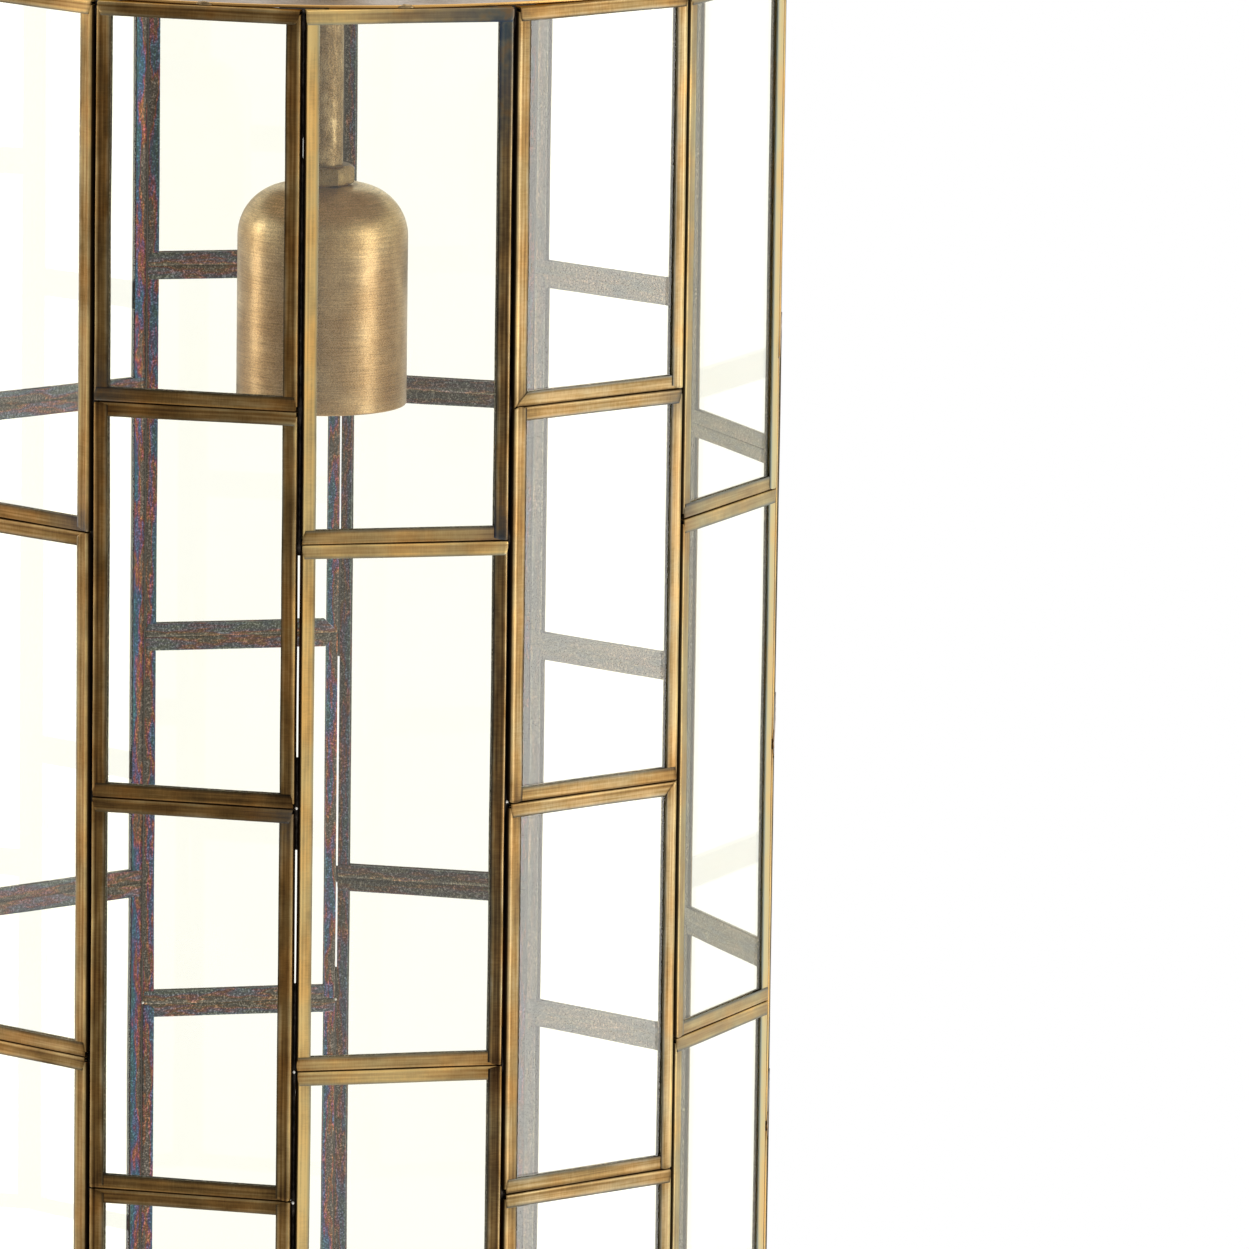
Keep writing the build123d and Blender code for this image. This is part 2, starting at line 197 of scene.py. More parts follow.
# Came brass: dark patina with streaks along the strip, rubbed bright at the folds and lips with painted
# highlight; painted shade on folds that face down, in the gaps and along the lips
cameFinish = {
    "patina": [
        (0.22, (0.035, 0.017, 0.007)),
        (0.37, (0.105, 0.058, 0.022)),
        (0.51, (0.205, 0.119, 0.041)),
        (0.65, (0.325, 0.215, 0.098)),
        (0.81, (0.460, 0.330, 0.155)),
        (0.98, (0.700, 0.500, 0.220)),
    ],
    "hue": [(0.36, (0.97, 1.00, 0.95)), (0.50, (1.04, 0.98, 0.84)), (0.64, (1.15, 0.95, 0.68))],
    # painted shade along the lip, with a painted reflection of the glass edge
    "lipShadeTint": (0.46, 0.58, 0.90, 1),
    "greyTint": (0.84, 1.04, 1.48, 1),
    # painted shade: the side walls down in the gaps are painted nearly black
    "gapShadeColour": (0.022, 0.013, 0.007, 1),
    "gapRoughness": (0.85, 0.85, 0.85, 1),
    "gapGlance": (0.780, 0.480, 0.150, 1),  # what a folded edge looks like at a shallow angle
    "burnColours": [
        (0.42, (0.050, 0.070, 0.085)),
        (0.52, (0.095, 0.100, 0.090)),
        (0.62, (0.160, 0.105, 0.060)),
    ],
    # from the folded edge to the lip of an inner face
    "torchColours": [
        (0.16, (0.120, 0.104, 0.092)),
        (0.34, (0.112, 0.090, 0.078)),
        (0.42, (0.260, 0.110, 0.042)),
        (0.49, (0.240, 0.062, 0.080)),
        (0.57, (0.105, 0.072, 0.165)),
        (0.68, (0.046, 0.105, 0.200)),
        (0.82, (0.050, 0.115, 0.140)),
    ],
    "dullColours": [
        (0.38, (0.098, 0.096, 0.084)),
        (0.50, (0.138, 0.122, 0.080)),
        (0.62, (0.185, 0.140, 0.090)),
    ],
    "speckle": [(0.38, 0.60), (0.50, 0.86), (0.57, 1.35), (0.64, 3.0)],
    "roughness": (0.28, 0.44),
    # how much each pattern adds to the shade that picks a patina
    "streakWeight": 0.48,
    "blotchWeight": 0.44,
    "brushWeight": 0.16,
    "rubAndLightWeight": 0.32,
    "hueWeight": 0.8,
    "grooveDepth": 0.00005,
}


def makeCameBrass():
    material, tree, shader = startMaterial("cameBrass")
    run = readMark(tree, "runPlace", "Vector")
    point = objectPoint(tree)
    streaks = cloud(tree, stretch(tree, run, (34, 1700, 1)), 1.0, 4.0, 0.65)
    blotches = cloud(tree, stretch(tree, run, (60, 150, 1)), 1.0, 3.0, 0.6)
    brushing = cloud(tree, stretch(tree, run, (3200, 420, 1)), 1.0, 2.0, 0.6)
    parts = [(streaks, "streakWeight"), (blotches, "blotchWeight"), (brushing, "brushWeight")]
    shade = readMark(tree, "tone")
    for part, weight in parts:
        shade = calc(tree, "ADD", shade, calc(tree, "MULTIPLY", part, cameFinish[weight]))
    # the folds get rubbed brightness and painted highlight, and folds that face down get painted shade
    rubAndLight = calc(tree, "MULTIPLY", readMark(tree, "wearAndLight"), calc(tree, "ADD", blotches, 0.05))
    shade = calc(tree, "ADD", shade, calc(tree, "MULTIPLY", rubAndLight, cameFinish["rubAndLightWeight"]))
    colour = ramp(tree, shade, cameFinish["patina"])
    hue = ramp(tree, cloud(tree, point, 70, 3.0), cameFinish["hue"])
    colour = blendColour(tree, cameFinish["hueWeight"], colour, hue, "MULTIPLY")
    colour = blendColour(tree, readMark(tree, "grey"), colour, cameFinish["greyTint"], "MULTIPLY")
    burnt = ramp(tree, cloud(tree, point, 160, 3.0, 0.6), cameFinish["burnColours"])
    colour = blendColour(tree, readMark(tree, "burn"), colour, burnt)
    # the lip is painted darker and bluer: painted shade, and a painted reflection of the glass edge
    colour = blendColour(tree, readMark(tree, "lip"), colour, cameFinish["lipShadeTint"], "MULTIPLY")
    drift = cloud(tree, stretch(tree, run, (70, 330, 1)), 1.0, 3.0, 0.64)
    # the torch colours run from the folded edge to the lip, with an uneven border
    reached = calc(tree, "MULTIPLY", readMark(tree, "reach"), 0.42)
    spread = calc(tree, "ADD", calc(tree, "MULTIPLY", drift, 2.0), reached)
    spread = calc(tree, "SUBTRACT", spread, 0.71, clamp=True)
    tinted = blendColour(tree, readMark(tree, "torch"), ramp(tree, drift, cameFinish["dullColours"]),
                         ramp(tree, spread, cameFinish["torchColours"]))
    speck = ramp(tree, cloud(tree, point, 1900, 2.0, 0.7), cameFinish["speckle"])
    tinted = blendColour(tree, 1.0, tinted, speck, "MULTIPLY")
    tinted = blendColour(tree, 1.0, tinted, readMark(tree, "innerShade"), "MULTIPLY")
    colour = blendColour(tree, readMark(tree, "innerFace"), colour, tinted)
    # the side walls in the gaps are painted nearly black, as painted shade
    colour = blendColour(tree, readMark(tree, "sideWall"), colour, cameFinish["gapShadeColour"])
    tree.links.new(colour, shader.inputs["Base Color"])
    folded = calc(tree, "MULTIPLY", readMark(tree, "sideWall"), 4.0, clamp=True)
    glance = blendColour(tree, folded, (1, 1, 1, 1), cameFinish["gapGlance"])
    tree.links.new(glance, shader.inputs["Specular Tint"])
    shader.inputs["Metallic"].default_value = 1.0
    low, high = cameFinish["roughness"]
    rough = ramp(tree, blotches, [(0.3, low), (0.7, high)])
    rough = blendColour(tree, readMark(tree, "sideWall"), rough, cameFinish["gapRoughness"])
    tree.links.new(rough, shader.inputs["Roughness"])
    height = calc(tree, "ADD", calc(tree, "MULTIPLY", streaks, 0.6), calc(tree, "MULTIPLY", blotches, 0.6))
    bump(tree, shader, height, cameFinish["grooveDepth"], 0.5)
    return material


# Solder: nearly black, lumpy and dull, with nubs painted near white as glints
solderFinish = {
    "colours": [
        (0.35, (0.010, 0.008, 0.007)),
        (0.60, (0.045, 0.036, 0.030)),
        (0.75, (0.120, 0.100, 0.085)),
    ],
    "insideColours": [
        (0.35, (0.085, 0.078, 0.070)),
        (0.60, (0.125, 0.112, 0.095)),
        (0.75, (0.200, 0.185, 0.160)),
    ],
    "glintColour": (0.840, 0.830, 0.800, 1),
    "roughness": 0.5,
    "metallic": 0.9,
    "lumpDepth": 0.0004,
}


def makeSolder():
    material, tree, shader = startMaterial("darkSolder")
    point = objectPoint(tree)
    lumps = cloud(tree, point, 420, 4.0, 0.6)
    inside = ramp(tree, lumps, solderFinish["insideColours"])
    colour = blendColour(tree, readMark(tree, "inside"), ramp(tree, lumps, solderFinish["colours"]), inside)
    # the nubs are painted near white: painted glints
    colour = blendColour(tree, readMark(tree, "bright"), colour, solderFinish["glintColour"])
    tree.links.new(colour, shader.inputs["Base Color"])
    shader.inputs["Metallic"].default_value = solderFinish["metallic"]
    shader.inputs["Roughness"].default_value = solderFinish["roughness"]
    bump(tree, shader, lumps, solderFinish["lumpDepth"], 0.7)
    return material


# Clear glass: slightly warm
glassFinish = {
    "tints": [(0.40, (1.0, 1.0, 0.940)), (0.60, (1.0, 1.0, 0.950))],
    "ior": 1.50,
}


def makeGlass():
    material, tree, shader = startMaterial("clearGlass")
    tint = ramp(tree, cloud(tree, objectPoint(tree), 30, 2.0), glassFinish["tints"])
    tree.links.new(tint, shader.inputs["Base Color"])
    shader.inputs["Transmission Weight"].default_value = 1.0
    shader.inputs["Roughness"].default_value = 0.0
    shader.inputs["IOR"].default_value = glassFinish["ior"]
    clear = addNode(tree, "BsdfTransparent")
    tree.links.new(tint, clear.inputs["Color"])
    through = addNode(tree, "MixShader")
    path = addNode(tree, "LightPath")
    # light that another surface has thrown back goes straight through; inside the glass the depth is odd
    outside = calc(tree, "SUBTRACT", 1.0, calc(tree, "MODULO", path.outputs["Transmission Depth"], 2.0))
    scattered = calc(tree, "MULTIPLY", path.outputs["Is Reflection Ray"], outside)
    tree.links.new(calc(tree, "MAXIMUM", path.outputs["Is Shadow Ray"], scattered), through.inputs[0])
    tree.links.new(shader.outputs[0], through.inputs[1])
    tree.links.new(clear.outputs[0], through.inputs[2])
    output = next(made for made in tree.nodes if made.type == "OUTPUT_MATERIAL")
    tree.links.new(through.outputs[0], output.inputs["Surface"])
    return material


# Turned and brushed brass for the cup, stem, plate and fittings
brassFinishes = {
    "cup": {
        "colours": [(0.34, (0.250, 0.148, 0.068)), (0.50, (0.330, 0.213, 0.110)),
                    (0.66, (0.415, 0.288, 0.165))],
        "roughness": (0.30, 0.40), "patch": 60, "grain": (90, 2600, 1),
        "pores": 3000, "pitting": 0.30, "bump": 0.00004,
        "domePaintedLight": [(0.013, (1.85, 2.15, 2.30)), (0.030, (1.0, 1.0, 1.0))],
    },
    "plate": {
        "colours": [(0.34, (0.215, 0.155, 0.102)), (0.50, (0.300, 0.225, 0.152)),
                    (0.68, (0.385, 0.295, 0.200))],
        "roughness": (0.28, 0.45), "patch": 55, "grain": (60, 2600, 1),
        "pores": 1900, "pitting": 0.25, "bump": 0.00005,
        "rubbedAndLit": (0.640, 0.380, 0.130, 1),
    },
    "stem": {
        "colours": [(0.34, (0.225, 0.150, 0.078)), (0.50, (0.300, 0.212, 0.118)),
                    (0.66, (0.385, 0.285, 0.170))],
        "roughness": (0.46, 0.58), "patch": 260, "grain": (900, 900, 160),
        "pores": 3000, "pitting": 0.45, "bump": 0.00005,
    },
    "fitting": {
        "colours": [(0.34, (0.150, 0.096, 0.044)), (0.50, (0.250, 0.170, 0.085)),
                    (0.68, (0.360, 0.255, 0.130))],
        "roughness": (0.30, 0.44), "patch": 130, "grain": (700, 700, 700),
        "pores": 3000, "pitting": 0.30, "bump": 0.00004,
    },
    "shell": {
        "colours": [(0.34, (0.420, 0.290, 0.110)), (0.50, (0.600, 0.430, 0.180)),
                    (0.68, (0.700, 0.520, 0.240))],
        "roughness": (0.18, 0.32), "patch": 200, "grain": (1200, 1200, 1200),
        "pores": 3000, "pitting": 0.1, "bump": 0.00002,
    },
    "bronze": {
        "colours": [(0.34, (0.400, 0.220, 0.110)), (0.50, (0.560, 0.340, 0.180)),
                    (0.68, (0.640, 0.420, 0.240))],
        "roughness": (0.22, 0.36), "patch": 300, "grain": (1500, 1500, 1500),
        "pores": 3000, "pitting": 0.1, "bump": 0.00002,
    },
    "steel": {
        "colours": [(0.34, (0.380, 0.385, 0.395)), (0.50, (0.520, 0.525, 0.530)),
                    (0.68, (0.620, 0.620, 0.620))],
        "roughness": (0.25, 0.40), "patch": 300, "grain": (1500, 1500, 1500),
        "pores": 3000, "pitting": 0.1, "bump": 0.00002,
    },
}


def makeBrass(name, turned):
    finish = brassFinishes[name]
    material, tree, shader = startMaterial(name + "Metal")
    point = objectPoint(tree)
    lay = readMark(tree, "runPlace", "Vector") if turned else point
    patches = cloud(tree, point, finish["patch"], 4.0, 0.6)
    grain = cloud(tree, stretch(tree, lay, finish["grain"]), 1.0, 3.0, 0.6)
    pores = cloud(tree, point, finish["pores"], 2.0, 0.7)
    colour = ramp(tree, patches, finish["colours"])
    colour = blendColour(tree, 1.0, colour, ramp(tree, grain, [(0.36, 0.80), (0.64, 1.20)]), "MULTIPLY")
    pitted = [(0.38, 1 - finish["pitting"]), (0.50, 1.0), (0.64, 1 + finish["pitting"])]
    colour = blendColour(tree, 1.0, colour, ramp(tree, pores, pitted), "MULTIPLY")
    # the dome at the top of the cup is painted paler and bluer: painted light from above
    if "domePaintedLight" in finish:
        travelled = addNode(tree, "SeparateXYZ")
        tree.links.new(lay, travelled.inputs[0])
        paler = ramp(tree, travelled.outputs["Y"], finish["domePaintedLight"])
        colour = blendColour(tree, 1.0, colour, paler, "MULTIPLY")
    # the plate's rim is painted bright gold: rubbed brass and a painted highlight along the rim
    if "rubbedAndLit" in finish:
        colour = blendColour(tree, readMark(tree, "wearAndLight"), colour, finish["rubbedAndLit"])
    tree.links.new(colour, shader.inputs["Base Color"])
    shader.inputs["Metallic"].default_value = 1.0
    low, high = finish["roughness"]
    tree.links.new(ramp(tree, patches, [(0.35, high), (0.65, low)]), shader.inputs["Roughness"])
    bump(tree, shader, grain, finish["bump"], 0.5)
    return material


# Mouldings of the lampholder and the bush
mouldings = {
    "phenolic": {"colours": [(0.35, (0.010, 0.009, 0.008)), (0.65, (0.030, 0.026, 0.023))],
                 "roughness": (0.22, 0.34), "scale": 260},
    "porcelain": {"colours": [(0.35, (0.660, 0.640, 0.590)), (0.65, (0.760, 0.745, 0.700))],
                  "roughness": (0.12, 0.22), "scale": 120},
    "nylon": {"colours": [(0.35, (0.020, 0.020, 0.020)), (0.65, (0.045, 0.045, 0.046))],
              "roughness": (0.42, 0.55), "scale": 700},
}


def makeMoulding(name):
    finish = mouldings[name]
    material, tree, shader = startMaterial(name)
    mottle = cloud(tree, objectPoint(tree), finish["scale"], 4.0, 0.6)
    tree.links.new(ramp(tree, mottle, finish["colours"]), shader.inputs["Base Color"])
    low, high = finish["roughness"]
    tree.links.new(ramp(tree, mottle, [(0.35, low), (0.65, high)]), shader.inputs["Roughness"])
    bump(tree, shader, mottle, 0.00003, 0.4)
    return material


materials = {"came": makeCameBrass(), "solder": makeSolder(), "glass": makeGlass()}
for name in brassFinishes:
    materials[name] = makeBrass(name, turned=name in ("cup", "plate"))
for name in mouldings:
    materials[name] = makeMoulding(name)
print("materials: made")


# Mesh helpers

def newPiece(name, mesh, material):
    piece = bpy.data.objects.new(name, mesh)
    bpy.context.scene.collection.objects.link(piece)
    mesh.materials.append(material)
    mesh.polygons.foreach_set("use_smooth", [True] * len(mesh.polygons))
    mesh.update()
    return piece


def seat(piece, slot, *nodes):
    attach(piece, "lantern")
    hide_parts(*nodes)


def finishMesh(sheet, name):
    bmesh.ops.recalc_face_normals(sheet, faces=sheet.faces)
    mesh = bpy.data.meshes.new(name)
    sheet.to_mesh(mesh)
    sheet.free()
    return mesh


meanRadius = 0.02  # of the turned pieces, for the length of the marks round them


def joinRings(sheet, lower, upper):
    for index in range(len(lower)):
        after = (index + 1) % len(lower)
        sheet.faces.new((lower[index], lower[after], upper[after], upper[index]))


def turnProfile(name, profile, material, steps=192, shape=None, rubbedAndLit=()):
    sheet = bmesh.new()
    wearAndLight = sheet.verts.layers.float.new("wearAndLight")
    runPlace = sheet.verts.layers.float_vector.new("runPlace")
    rings = []
    travelled = 0.0
    for index, (radius, height) in enumerate(profile):
        if index:
            travelled += math.dist(profile[index - 1], (radius, height))
        ring = []
        for step in range(steps):
            angle = 2 * math.pi * step / steps
            place = Vector((radius * math.cos(angle), radius * math.sin(angle), height))
            if shape:
                place = shape(place, angle)
            vert = sheet.verts.new(place)
            swing = abs(angle - math.pi)  # meets itself at both ends of the turn
            vert[runPlace] = (swing * meanRadius, travelled, 3.0)
            vert[wearAndLight] = 1.0 if index in rubbedAndLit else 0.0
            ring.append(vert)
        rings.append(ring)
    for lower, upper in zip(rings, rings[1:] + rings[:1]):
        joinRings(sheet, lower, upper)
    return newPiece(name, finishMesh(sheet, name), material)


def arc(centreRadius, centreHeight, radius, start, end, count):
    points = []
    for step in range(count + 1):
        angle = math.radians(start + (end - start) * step / count)
        points.append((centreRadius + radius * math.cos(angle), centreHeight + radius * math.sin(angle)))
    return points


# Came frames: four folded channels round each pane, lapped at the corners and a little uneven
came = {
    "width": 3.7,  # in millimetres, as in the outline below
    "step": 0.008,  # length between two rings of a run
    "endRings": (0.0004, 0.0011),  # two more rings near each end
    "waver": 0.00009,
    "under": 0.0013,  # where a run that goes under its neighbour starts
    "lapThickness": 1.12,
    "endThickness": 0.93,
    "lapSlant": (-0.05, 0.22),
    "broadening": 0.035,
    "rounding": (0.0003, 0.0010),  # how far the corners of a lap are taken back
    "endShade": 0.13,
    "underThickness": 0.985,
    "bulge": 0.12,  # in millimetres, where the fold of an upright run leans out over the gap
    "lapShare": 0.62,  # corners where the cross run lies on top
    "mitreShare": 0.12,
    "shift": 0.00008,
    "turn": 0.0012,
    "innerJoin": 0.06,  # in millimetres, where the inner faces of two cross runs close up
    "toneSpread": 0.03,
    # how much of the painted gap shade stays on walls in the open
    "brightWall": 0.3,
    "endReach": 0.006,  # length at each end of a run that is darker and slanted
    "sharpAngle": 50,
    "seed": 21,
}
# (across from the folded edge, out from the inner face) in millimetres, wear and painted light, side wall
# (painted gap shade), inner face, lip (painted shade)
cameOutline = [
    (3.70, 2.86, 0.0, 0, 0, 1), (3.66, 2.96, 0.0, 0, 0, 1), (3.50, 3.00, 0.3, 0, 0, 1),
    (3.15, 3.00, 0.7, 0, 0, 0.5), (2.75, 2.98, 0.5, 0, 0, 0), (2.30, 2.96, -0.1, 0, 0, 0),
    (1.70, 2.95, 0.1, 0, 0, 0), (1.10, 2.97, -0.5, 0, 0, 0), (0.74, 3.00, 0.2, 0, 0, 0),
    (0.46, 2.99, 1.0, 0, 0, 0), (0.24, 2.92, 0.9, 0, 0, 0), (0.08, 2.78, 0.4, 0.4, 0, 0),
    (0.00, 2.55, 0, 0.85, 0, 0), (0.00, 1.50, 0, 1, 0, 0), (0.00, 0.60, 0, 1, 0, 0),
    (0.00, 0.18, 0, 0.6, 0.6, 0), (0.03, 0.06, 0, 0, 1, 0), (0.14, 0.01, 0, 0, 1, 0),
    (1.10, 0.00, 0, 0, 1, 0), (1.90, 0.03, 0, 0, 1, 0), (2.80, 0.00, 0, 0, 1, 0),
    (3.48, 0.00, 0, 0, 1, 0), (3.66, 0.03, 0, 0, 1, 0), (3.70, 0.12, 0, 0, 1, 0),
    (3.70, 0.38, 0, 0, 1, 0), (3.60, 0.45, 0, 0.2, 1, 0), (0.60, 0.45, 0, 1, 0, 0),
    (0.45, 0.60, 0, 1, 0, 0), (0.45, 2.40, 0, 1, 0, 0), (0.60, 2.55, 0, 1, 0, 0),
    (3.60, 2.55, 0, 0.2, 1, 0), (3.70, 2.62, 0, 0, 0.5, 1),
]
# How much of the rubbed brightness and painted highlight a run keeps: a fold that faces down gets painted
# shade instead, as less light falls on it
runWearAndLight = {"top": 1.1, "bottom": -0.35, "left": 1.25, "right": 1.25}
# Columns whose inner faces are tinted by the torch, columns whose inner faces are darkened with painted
# shade, and columns painted paler or darker as a whole: painted light on the columns to the right, painted
# shade on those at the front left
columnTorch = {5: 0.15, 6: 0.60, 7: 0.90, 8: 1.0, 9: 1.0, 10: 0.9, 11: 0.8}
innerShade = {8: 0.55, 9: 0.60, 10: 0.75}
columnLightTone = {0: 0.0, 1: 0.07, 2: 0.22, 12: -0.01, 13: -0.045}
# Runs in view whose patina is plainly paler or darker than their neighbours'
runTone = {
    (0, "left"): 0.38,
    (0, "right"): -0.16,
    (0, "top"): 0.20,
    (0, "bottom"): 0.18,
    (1, "left"): -0.09,
    (1, "right"): -0.01,
    (1, "top"): -0.06,
    (1, "bottom"): -0.06,
    (2, "top"): 0.02,
    (2, "right"): 0.38,
    (3, "left"): 0.16,
    (12, "right"): 0.06,
}
# Runs painted paler towards their folded edge and darker towards the lip, as painted light and shade across
# the run (the other way round where the value is negative), and columns that are greyer and get less of the
# rubbed brightness and painted highlight
runSlope = {
    (0, "left"): 0.18,
    (0, "right"): 0.12,
    (1, "left"): 0.24,
    (1, "right"): 0.30,
    (2, "right"): -0.32,
    (13, "right"): 0.16,
}
columnGrey = {1: 0.55, 2: 0.6}
runGrey = {(0, "right"): 0.7, (2, "right"): 0.9}
columnWearAndLight = {1: 0.5, 2: 0.4}
# Folds in plain sight at the right edge of the lantern get less of the painted gap shade, so they are as
# bright as the faces
brightFolds = ((2, "right"), (3, "left"))
# Uprights folded a little further out over the gap, in millimetres, or a little narrower
runFold = {
    (0, "left"): (-0.28, 0.97),
    (0, "right"): (-0.02, 1.0),
    (1, "left"): (0.42, 0.97),
    (1, "right"): (0.34, 0.88),
}
# The cross runs were heated less than the uprights, and some uprights were folded narrower
crossTorch = 0.55
uprightShare = {5: 0.92, 6: 0.82, 7: 0.84, 8: 0.90}
# Corners where the patina is rubbed to a golden tone: reach in metres and how much paler
goldenCorners = {
    (0, 0, "topLeft"): (0.020, 0.26),
    (13, 0, "topLeft"): (0.006, 0.35),
    (13, 1, "topRight"): (0.030, 0.16),
    (0, 1, "topLeft"): (0.010, 0.14),
    (0, 1, "topRight"): (0.008, 0.16),
    (12, 0, "topRight"): (0.012, 0.28),
    (1, 0, "bottomRight"): (0.008, 0.15),
}


def nearness(point, spots):
    return max([0.0] + [strength * max(0.0, 1 - (point - centre).length / reach)
                        for centre, reach, strength in spots])


def layRun(sheet, marks, corner, axes, length, ends, looks, spots, seed):
    along, inward, outward = axes
    middle = lantern["frameDepth"] / 2
    starts = {"over": 0.0, "under": came["under"], "mitre": 0.0}
    thickness = {"over": came["lapThickness"], "under": came["underThickness"], "mitre": 1.0}
    first, last = starts[ends[0]], length - starts[ends[1]]
    inner = max(3, round((last - first) / came["step"]))
    near, far = came["endRings"]
    places = [first, first + near, first + far]
    places += [first + (last - first) * step / inner for step in range(1, inner)]
    places += [last - far, last - near, last]
    slant = {"over": random.uniform(*came["lapSlant"]), "under": 0.0, "mitre": 1.0}
    slants = (slant[ends[0]], slant[ends[1]])
    rounded = [random.uniform(*came["rounding"]) if end == "over" else 0.0 for end in ends]
    rings = []
    for number, place in enumerate(places):
        share = place / length
        scale = thickness[ends[0]] * (1 - share) + thickness[ends[1]] * share
        if number in (0, len(places) - 1):
            scale *= came["endThickness"]
        sway = came["waver"] * noise.noise(Vector((place * 38, seed, 0.3)))
        lift = 0.6 * came["waver"] * noise.noise(Vector((place * 45, seed, 7.1)))
        broad = 1 + came["broadening"] * noise.noise(Vector((place * 30, seed, 13.7)))
        nearStart = max(0.0, 1 - (place - first) / came["endReach"])
        nearEnd = max(0.0, 1 - (last - place) / came["endReach"])
        burn, golden = (nearness(corner + along * place, kind) for kind in spots)
        ring = []
        travelled = 0.0
        for index, (across, depth, wearAndLight, wall, innerFace, lip) in enumerate(cameOutline):
            if index:
                travelled += math.dist(cameOutline[index - 1][:2], (across, depth)) / 1000
            if depth < 0.5:
                across -= looks["innerJoin"]
            elif across < 0.3:
                across -= looks["bulge"] * min(1.0, depth / 2.5)
            inset = across / 1000 * broad * looks["share"]
            pushed = place + inset * (slants[0] * nearStart - slants[1] * nearEnd)
            if number in (0, len(places) - 1):
                # both corners of a lap are rounded, the inner one more
                cut = max(0.0, (across - 1.9) / 1.8) ** 2 + 0.35 * max(0.0, 1.0 - across) ** 2
                pushed += cut * rounded[0] if number == 0 else -cut * rounded[1]
            out = middle + (depth / 1000 - middle) * scale + lift
            vert = sheet.verts.new(corner + along * pushed + inward * (inset + sway) + outward * out)
            vert[marks["runPlace"]] = (place, travelled, seed)
            vert[marks["wearAndLight"]] = wearAndLight * looks["wornAndLit"]
            vert[marks["sideWall"]] = wall * looks["wallShade"]
            vert[marks["innerFace"]] = innerFace
            vert[marks["lip"]] = lip
            reach = across / came["width"]
            # the slope paints light and shade across the run, and each end is painted darker beside its lap
            # as shade
            shaded = looks["slope"] * (0.5 - reach) - came["endShade"] * max(nearStart, nearEnd)
            vert[marks["tone"]] = looks["tone"] + golden + shaded
            vert[marks["grey"]] = looks["grey"] * (0.5 + reach)
            vert[marks["torch"]] = looks["torch"]
            vert[marks["innerShade"]] = looks["innerShade"]
            vert[marks["reach"]] = reach
            vert[marks["burn"]] = burn
            ring.append(vert)
        rings.append(ring)
    for before, after in zip(rings, rings[1:]):
        joinRings(sheet, before, after)
    sheet.faces.new(rings[0])
    sheet.faces.new(list(reversed(rings[-1])))


def cornerKind():
    pick = random.random()
    if pick < came["mitreShare"]:
        return "mitre"
    return "cross" if pick < came["mitreShare"] + came["lapShare"] else "upright"


# How the corners of the frames in view are lapped: (column, row, corner) with row 0 at the top
knownCorners = {
    (13, 0, "bottomLeft"): "cross", (13, 0, "bottomRight"): "cross",
    (13, 1, "topLeft"): "upright", (13, 1, "topRight"): "cross",
    (13, 1, "bottomLeft"): "cross", (13, 1, "bottomRight"): "cross",
    (13, 2, "topLeft"): "cross", (13, 2, "topRight"): "cross",
    (0, 0, "topLeft"): "cross", (0, 0, "topRight"): "cross",
    (0, 0, "bottomLeft"): "cross", (0, 0, "bottomRight"): "upright",
    (0, 1, "topLeft"): "cross", (0, 1, "topRight"): "cross",
    (0, 1, "bottomLeft"): "cross", (0, 2, "topLeft"): "cross",
    (1, 0, "bottomLeft"): "mitre", (1, 0, "bottomRight"): "upright",
    (1, 1, "topLeft"): "upright", (1, 1, "topRight"): "cross",
    (2, 0, "bottomLeft"): "cross", (2, 1, "topLeft"): "cross",
}


# Corners where the torch left a blue-grey bloom: reach in metres and strength
burntCorners = {
    (0, 0, "topRight"): (0.044, 1.0),
    (0, 0, "bottomRight"): (0.016, 0.5),
    (13, 0, "bottomLeft"): (0.012, 0.6),
    (13, 2, "topRight"): (0.014, 0.5),
    (1, 1, "topRight"): (0.010, 0.5),
    (2, 0, "bottomLeft"): (0.012, 0.5),
    (12, 0, "bottomRight"): (0.016, 0.5),
    (5, 1, "topLeft"): (0.020, 0.8),
    (9, 2, "bottomRight"): (0.025, 0.8),
    (10, 0, "bottomLeft"): (0.018, 0.7),
}


